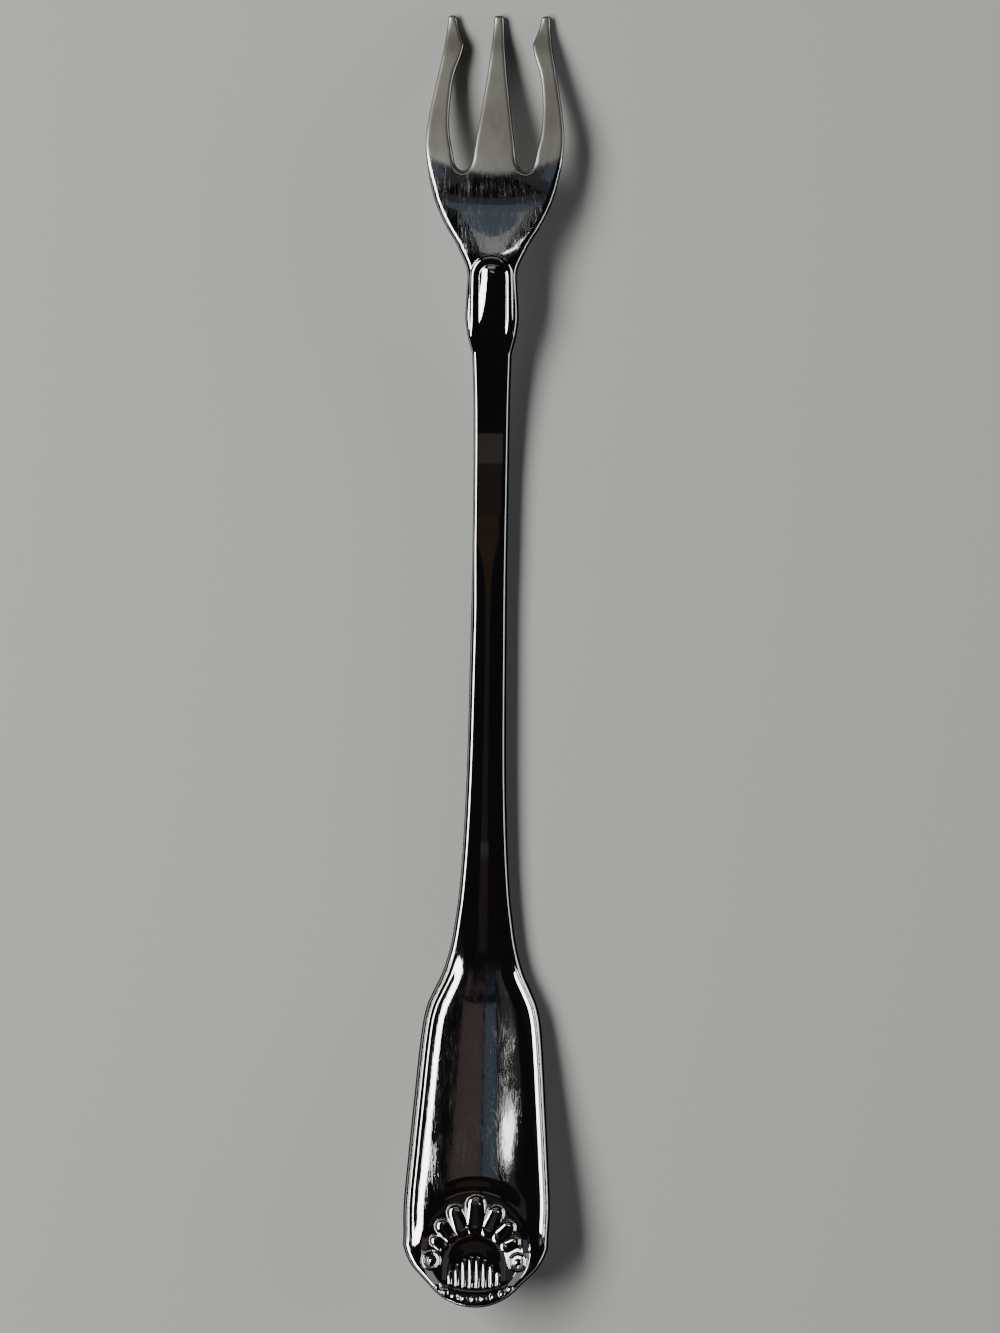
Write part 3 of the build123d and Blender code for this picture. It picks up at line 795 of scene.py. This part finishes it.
def outerCutPlace(x):  # where the cut between an outer tine and the head runs
    a, b = inner[bowCut], inner[sideCut]
    return a[1] + (b[1] - a[1]) * (x - a[0]) / (b[0] - a[0])


def mirrored(part):
    verts, normals, faces = part
    return verts * (-1, 1, 1), normals * (-1, 1, 1), [tuple(reversed(face)) for face in faces]


def bothSides(parts):
    return parts + [mirrored(part) for part in parts]


def makePiece(name, parts, nodes, material):
    verts, normals, faces = [], [], []
    count = 0
    for partVerts, partNormals, partFaces in parts:
        used = np.unique(np.array([i for face in partFaces for i in face]))
        index = np.full(len(partVerts), -1)
        index[used] = np.arange(len(used)) + count
        verts.append(partVerts[used])
        normals.append(partNormals[used])
        faces += [tuple(int(index[i]) for i in face) for face in partFaces]
        count += len(used)
    verts, normals = np.vstack(verts) * mm, np.vstack(normals)
    mesh = bpy.data.meshes.new(name)
    mesh.from_pydata([tuple(v) for v in verts], [], faces)
    mesh.polygons.foreach_set("use_smooth", [True] * len(mesh.polygons))
    mesh.normals_split_custom_set_from_vertices([tuple(n) for n in normals])
    mesh.materials.append(material)
    piece = bpy.data.objects.new(name, mesh)
    bpy.context.scene.collection.objects.link(piece)
    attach(piece, "root")
    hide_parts(*nodes)
    print("piece", name, len(mesh.vertices), "points")
    return piece


class Wire:  # a number socket that takes Python's operators
    def __init__(self, kit, socket):
        self.kit, self.socket = kit, socket

    def __add__(self, other):
        return self.kit.math("ADD", self, other)

    def __radd__(self, other):
        return self.kit.math("ADD", other, self)

    def __sub__(self, other):
        return self.kit.math("SUBTRACT", self, other)

    def __rsub__(self, other):
        return self.kit.math("SUBTRACT", other, self)

    def __mul__(self, other):
        return self.kit.math("MULTIPLY", self, other)

    def __rmul__(self, other):
        return self.kit.math("MULTIPLY", other, self)


class NodeKit:  # adds nodes to one material
    def __init__(self, name):
        self.material = bpy.data.materials.new(name)
        self.material.use_nodes = True
        self.tree = self.material.node_tree
        self.tree.nodes.clear()

    def add(self, kind, settings=None, values=None):
        node = self.tree.nodes.new(kind)
        for key, setting in (settings or {}).items():
            setattr(node, key, setting)
        for key, value in (values or {}).items():
            socket = node.inputs[key]
            if isinstance(value, Wire):
                self.tree.links.new(value.socket, socket)
            else:
                socket.default_value = value
        return node

    def out(self, node, key=0):
        return Wire(self, node.outputs[key])

    def math(self, operation, *values):
        node = self.add("ShaderNodeMath", {"operation": operation}, dict(enumerate(values)))
        return self.out(node)

    def ramp(self, value, low, high):  # smooth step from low to high
        node = self.add(
            "ShaderNodeMapRange",
            {"interpolation_type": "SMOOTHSTEP"},
            {"Value": value, "From Min": low, "From Max": high},
        )
        return self.out(node)

    def principled(self, values):  # the shader that the material ends in
        shader = self.add("ShaderNodeBsdfPrincipled", None, values)
        output = self.add("ShaderNodeOutputMaterial")
        self.tree.links.new(shader.outputs[0], output.inputs[0])

    def mix(self, share, first, second):
        settings = {"data_type": "RGBA", "blend_type": "MIX"}
        return self.out(self.add("ShaderNodeMix", settings, {0: share, 6: first, 7: second}), 2)

    def position(self):
        return self.out(self.add("ShaderNodeTexCoord"), "Object")

    def axis(self, position, key):
        return self.out(self.add("ShaderNodeSeparateXYZ", None, {0: position}), key)

    def noise(self, position, stretch, detail, roughness):  # cloudy noise, with its own scale on each axis
        scaled = self.add("ShaderNodeVectorMath", {"operation": "MULTIPLY"}, {0: position, 1: stretch})
        values = {"Vector": self.out(scaled), "Scale": 1.0, "Detail": detail, "Roughness": roughness}
        return self.out(self.add("ShaderNodeTexNoise", None, values), "Fac")

    def plane(self, across, along, acrossScale, alongScale, roughness):  # the same over two lengths
        place = self.add("ShaderNodeCombineXYZ", None, {0: across * acrossScale, 1: along * alongScale})
        return self.noise(self.out(place), (1, 1, 1), 2, roughness)


steel = {
    "polished": (0.60, 0.59, 0.585, 1),
    "polishedRoughness": 0.025,
    "hazeRoughness": 0.03,
    "hazeScale": (260, 90, 200),
    "hazeEdges": (0.5, 0.85),
    "scratchRoughness": 0.18,
    "scratchBump": 0.08,
    "scratchDepth": 0.00002,
    "satin": (0.48, 0.48, 0.44, 1),
    "satinDull": (0.4, 0.4, 0.36, 1),
    "satinRoughness": 0.3,
    "satinGrain": 0.1,
    "grainScale": (5000, 500, 3000),
    "cloudScale": (500, 200, 300),
    "cloudEdges": (0.4, 0.7),
    "satinReach": 1.25,  # how far the satin runs on past the slots, in mm
    "satinBow": 31,  # how strongly its edge curves back beside the middle
    "satinFade": (-0.9, 0.5),
    "slotHalo": (0.9, 1.4),  # round the end of each slot
}

wear = {  # fine scratches along the fork: places and lengths in mm, leans in radians
    "leans": [0.0, 0.06, -0.09, 0.21],
    "shift": (0.7, 0.3),
    "lines": (2400, 150),  # scale across and along the first layer
    "linesStep": (500, 50),  # added for each layer after it
    "patches": (900, 200),
    "lineEdges": (0.005, 0.03),
    "patchEdges": (0.3, 0.7),
    "everywhere": 0.06,
    "head": 0.7,
    "handle": 0.3,
    "headFade": 1.0,
    "handleFade": 8.0,
    "shellFade": 1.5,
}


def scratches(kit, position):  # in layers that lean a little
    total = 0.0
    x, y = kit.axis(position, "X"), kit.axis(position, "Y")
    for layer, lean in enumerate(wear["leans"]):
        across = x * math.cos(lean) + y * math.sin(lean) + layer * wear["shift"][0]
        along = y * math.cos(lean) - x * math.sin(lean) + layer * wear["shift"][1]
        scales = [first + step * layer for first, step in zip(wear["lines"], wear["linesStep"])]
        lines = kit.plane(across, along, *scales, 0.5)
        patch = kit.plane(across, along, *wear["patches"], 0.6)
        thin = 1 - kit.ramp(kit.math("ABSOLUTE", lines - 0.5), *wear["lineEdges"])
        total = total + thin * kit.ramp(patch, *wear["patchEdges"])
    neckY, handleY = (tipY - neckStart) * mm, (tipY - handleStart) * mm
    head = kit.ramp(y, neckY - wear["headFade"] * mm, neckY)
    handle = kit.ramp(y, handleY, handleY - wear["handleFade"] * mm)
    amount = wear["everywhere"] + wear["head"] * head + wear["handle"] * handle
    fromShell = y - (tipY - shellPlace) * mm
    reach = kit.math("SQRT", x * x + fromShell * fromShell)
    outside = kit.ramp(reach, shellRadius * mm, (shellRadius + wear["shellFade"]) * mm)
    return total * amount * outside


def satinMask(kit, x, y):  # 1 on the tines, with a scalloped edge round the ends of the slots
    edge = tipY - headStart - steel["satinReach"]
    low, high = steel["satinFade"]
    tineMask = kit.ramp(y - x * x * steel["satinBow"], (edge + low) * mm, (edge + high) * mm)
    rootY = (tipY - headStart - tines["slotOverlap"] + tines["slotEndRadius"]) * mm
    aside = kit.math("ABSOLUTE", x) - tines["slotEndInset"] * mm
    reach = kit.math("SQRT", aside * aside + (y - rootY) * (y - rootY))
    low, high = steel["slotHalo"]
    return kit.math("MAXIMUM", tineMask, 1 - kit.ramp(reach, low * mm, high * mm))


def steelMaterial(name, satin):
    kit = NodeKit(name)
    position = kit.position()
    scratch = scratches(kit, position)
    haze = kit.ramp(kit.noise(position, steel["hazeScale"], 3, 0.6), *steel["hazeEdges"])
    rough = steel["polishedRoughness"] + scratch * steel["scratchRoughness"] + haze * steel["hazeRoughness"]
    colour = steel["polished"]
    if satin:
        mask = satinMask(kit, kit.axis(position, "X"), kit.axis(position, "Y"))
        grain = kit.noise(position, steel["grainScale"], 3, 0.7)
        rough = rough + mask * (steel["satinRoughness"] + grain * steel["satinGrain"] - rough)
        cloud = kit.ramp(kit.noise(position, steel["cloudScale"], 3, 0.6), *steel["cloudEdges"])
        colour = kit.mix(mask, colour, kit.mix(cloud, steel["satin"], steel["satinDull"]))
    bumpValues = {"Strength": steel["scratchBump"], "Distance": steel["scratchDepth"], "Height": scratch}
    bump = kit.out(kit.add("ShaderNodeBump", None, bumpValues))
    kit.principled({"Metallic": 1.0, "Base Color": colour, "Roughness": rough, "Normal": bump})
    return kit.material


polishedSteel = steelMaterial("polishedSteel", False)
satinSteel = steelMaterial("satinSteel", True)

flat, triangles = forkPlan()
print("fork plan", len(flat), "points", len(triangles), "triangles")
backVerts, backNormals = surface(flat, backHeight, True)
faceVerts, faceNormals = surface(flat, faceHeight, False)
centroid = flat[triangles].mean(1)
isCentre = centroid[:, 0] < tines["slotEndInset"]
beforeCut = np.where(isCentre, centroid[:, 1] < headStart, centroid[:, 1] < outerCutPlace(centroid[:, 0]))


def planPart(mask):  # back and face over some of the plan's triangles
    chosen = [tuple(int(i) for i in t) for t in triangles[mask]]
    up = [t[::-1] for t in chosen]
    return [(backVerts, backNormals, up), (faceVerts, faceNormals, chosen)]


outerTine = planPart(~isCentre & beforeCut) + [wall(bowCut, sideCut)]
makePiece("tineRight", outerTine, ["tine_right"], satinSteel)
makePiece("tineLeft", [mirrored(part) for part in outerTine], ["tine_left"], satinSteel)
centreTine = planPart(isCentre & beforeCut) + [wall(0, centreCut)]
makePiece("tineCentre", bothSides(centreTine), ["tine_centre"], satinSteel)
headPlate = planPart(~beforeCut) + [wall(centreCut, bowCut), wall(sideCut, forkEnd)]
makePiece("head", bothSides(headPlate), ["head"], satinSteel)

rowCount, columnCount = ladder.shape[:2]
ladderPoints = ladder.reshape(-1, 2)
ladderBack, ladderBackNormals = surface(ladderPoints, backHeight, True)
ladderFace, ladderFaceNormals = surface(ladderPoints, faceHeight, False)
shellReach = np.hypot(ladder[..., 0], ladder[..., 1] - shellPlace)  # from the middle of the round field
print("ladder heights done")


def rowAt(place):
    return int(np.abs(outline[forkEnd:, 1][: rowCount * 3 // 4] - place).argmin())


neckRow, shankRow = rowAt(shankStart), rowAt(handleStart)


def quads(rows, width, up, wanted):  # faces of a grid, over the cells that are wanted
    faces = []
    for i in rows:
        for j in range(width - 1):
            if wanted(i, j):
                a = i * width + j
                quad = (a, a + 1, a + width + 1, a + width)
                faces.append(quad if up else quad[::-1])
    return faces


def ladderPart(first, last, up, outsideShell=False):
    def wanted(i, j):
        return not outsideShell or shellReach[i, j] >= shellRadius

    verts, normals = (ladderBack, ladderBackNormals) if up else (ladderFace, ladderFaceNormals)
    return verts, normals, quads(range(first, last), columnCount, up, wanted)


def shellPart(heightOf, up):  # the same ladder inside the round field, with each column split in two
    first = int(np.flatnonzero((shellReach < shellRadius).any(1))[0])
    coarse = ladder[first:]
    fine = np.empty((len(coarse), 2 * columnCount - 1, 2))
    fine[:, ::2] = coarse
    fine[:, 1::2] = (coarse[:, 1:] + coarse[:, :-1]) / 2

    def wanted(i, j):
        return shellReach[first + i, j // 2] < shellRadius

    verts, normals = surface(fine.reshape(-1, 2), heightOf, up)
    return verts, normals, quads(range(len(coarse) - 1), fine.shape[1], up, wanted)


def bodyPart(first, last):
    parts = [ladderPart(first, last, True), ladderPart(first, last, False)]
    return parts + [wall(forkEnd + first, forkEnd + last)]


makePiece("neckDrop", bothSides(bodyPart(0, neckRow)), ["neck_drop"], polishedSteel)
makePiece("shank", bothSides(bodyPart(neckRow, shankRow)), ["shank"], polishedSteel)
handleParts = [
    ladderPart(shankRow, rowCount - 1, True, True),
    ladderPart(shankRow, rowCount - 1, False, True),
    wall(forkEnd + shankRow, forkEnd + rowCount - 1),
]
makePiece("handle", bothSides(handleParts), ["handle"], polishedSteel)
shellBack, shellFace = shellPart(backHeight, True), shellPart(faceHeight, False)
makePiece("shellBack", bothSides([shellBack]), ["shell_back"], polishedSteel)
makePiece("shellFace", bothSides([shellFace]), ["shell_face"], polishedSteel)

photo = {
    "pixelsPerMm": 8.342,
    "lean": math.radians(0.94),
    "centreAcross": 1.68,
    "centrePlace": 78.36,
    "height": 1333,
    "sensor": 36,
    "targetLevel": 5.0,
    "distance": 900.0,
    "fromRight": math.radians(4),
}


def addCamera():
    data = bpy.data.cameras.new("camera")
    camera = bpy.data.objects.new("camera", data)
    bpy.context.scene.collection.objects.link(camera)
    target = Vector((photo["centreAcross"], tipY - photo["centrePlace"], photo["targetLevel"])) * mm
    away = Vector((math.sin(photo["fromRight"]), 0, math.cos(photo["fromRight"])))
    camera.location = target + away * photo["distance"] * mm
    up = Vector((-math.sin(photo["lean"]), math.cos(photo["lean"]), 0))
    side = up.cross(away).normalized()
    top = away.cross(side).normalized()
    turned = camera.matrix_world.copy()
    for row in range(3):
        turned[row] = (side[row], top[row], away[row], camera.location[row])
    camera.matrix_world = turned
    data.sensor_fit = "VERTICAL"
    data.sensor_height = photo["sensor"]
    data.lens = photo["sensor"] * photo["distance"] * photo["pixelsPerMm"] / photo["height"]
    data.clip_start = 0.01
    bpy.context.scene.camera = camera


studio = {
    "floorSize": 1600.0,
    "floorColour": (0.50, 0.515, 0.50, 1),
    "floorRoughness": 0.9,
    "world": (0.007, 0.007, 0.0075, 1),
    "lights": [
        # name, turn from -Y anticlockwise, tilt from straight up, distance, aim, size, watts, colour
        ("key", -90, 40, 760, (0, 50, 0), (700, 330), 7.4, (1, 0.99, 0.96)),
        ("fill", 95, 76, 900, (0, 0, 0), (900, 250), 2.5, (0.95, 0.97, 1)),
    ],
    "cards": [
        # name, middle, size, glow, colour: small dim screens that the steel mirrors
        ("warmScreen", (-60, 540, 650), (560, 260), 0.33, (1, 0.96, 0.86)),
        ("highScreen", (-48, 307, 650), (270, 56), 0.035, (0.86, 0.93, 1)),
        ("blueScreen", (-48, 254, 650), (250, 50), 0.11, (0.6, 0.78, 1)),
        ("greyScreen", (-43, 190, 650), (180, 78), 0.3, (0.94, 0.99, 1)),
        ("brownScreen", (-92, 116, 650), (107, 58), 0.06, (1, 0.72, 0.68)),
        ("navyScreen", (-3, 116, 650), (56, 58), 0.09, (0.55, 0.76, 1)),
        ("hazeScreen", (108, 113, 650), (110, 46), 0.026, (0.92, 0.97, 1)),
        ("tanScreen", (-45, -76, 650), (70, 30), 0.036, (1, 0.9, 0.8)),
        ("bronzeScreen", (-48, -26, 650), (60, 70), 0.014, (1, 0.76, 0.5)),
        ("amberScreen", (-55, 14, 650), (60, 10), 0.024, (1, 0.62, 0.25)),
        ("lamp", (84, 138, 640), (84, 16), 4.0, (1, 1, 0.95)),
    ],
}


def addFloor():
    size = studio["floorSize"] * mm / 2
    mesh = bpy.data.meshes.new("floor")
    corners = [(-size, -size, 0), (size, -size, 0), (size, size, 0), (-size, size, 0)]
    mesh.from_pydata(corners, [], [(0, 1, 2, 3)])
    floor = bpy.data.objects.new("floor", mesh)
    bpy.context.scene.collection.objects.link(floor)
    kit = NodeKit("floorPaper")
    kit.principled({"Base Color": studio["floorColour"], "Roughness": studio["floorRoughness"]})
    mesh.materials.append(kit.material)


def areaLight(name, shape, size, watts, colour):
    data = bpy.data.lights.new(name, "AREA")
    data.shape, data.size, data.size_y = shape, size[0] * mm, size[1] * mm
    data.energy, data.color = watts, colour
    light = bpy.data.objects.new(name, data)
    bpy.context.scene.collection.objects.link(light)
    return light


def addLights():
    for name, turn, tilt, distance, aim, size, watts, colour in studio["lights"]:
        light = areaLight(name, "RECTANGLE", size, watts, colour)
        turn, tilt = math.radians(turn), math.radians(tilt)
        away = Vector((math.sin(turn) * math.sin(tilt), -math.cos(turn) * math.sin(tilt), math.cos(tilt)))
        light.location = (Vector(aim) + away * distance) * mm
        light.rotation_euler = away.to_track_quat("Z", "Y").to_euler()
    for name, middle, size, glow, colour in studio["cards"]:
        watts = glow * math.pi * size[0] * size[1] * mm * mm
        light = areaLight(name, "ELLIPSE" if name == "lamp" else "RECTANGLE", size, watts, colour)
        light.location = Vector(middle) * mm
    world = bpy.data.worlds.new("studio")
    bpy.context.scene.world = world
    world.use_nodes = True
    background = world.node_tree.nodes["Background"]
    background.inputs[0].default_value = studio["world"]
    background.inputs[1].default_value = 1.0


addCamera()
addFloor()
addLights()
print("stage set")
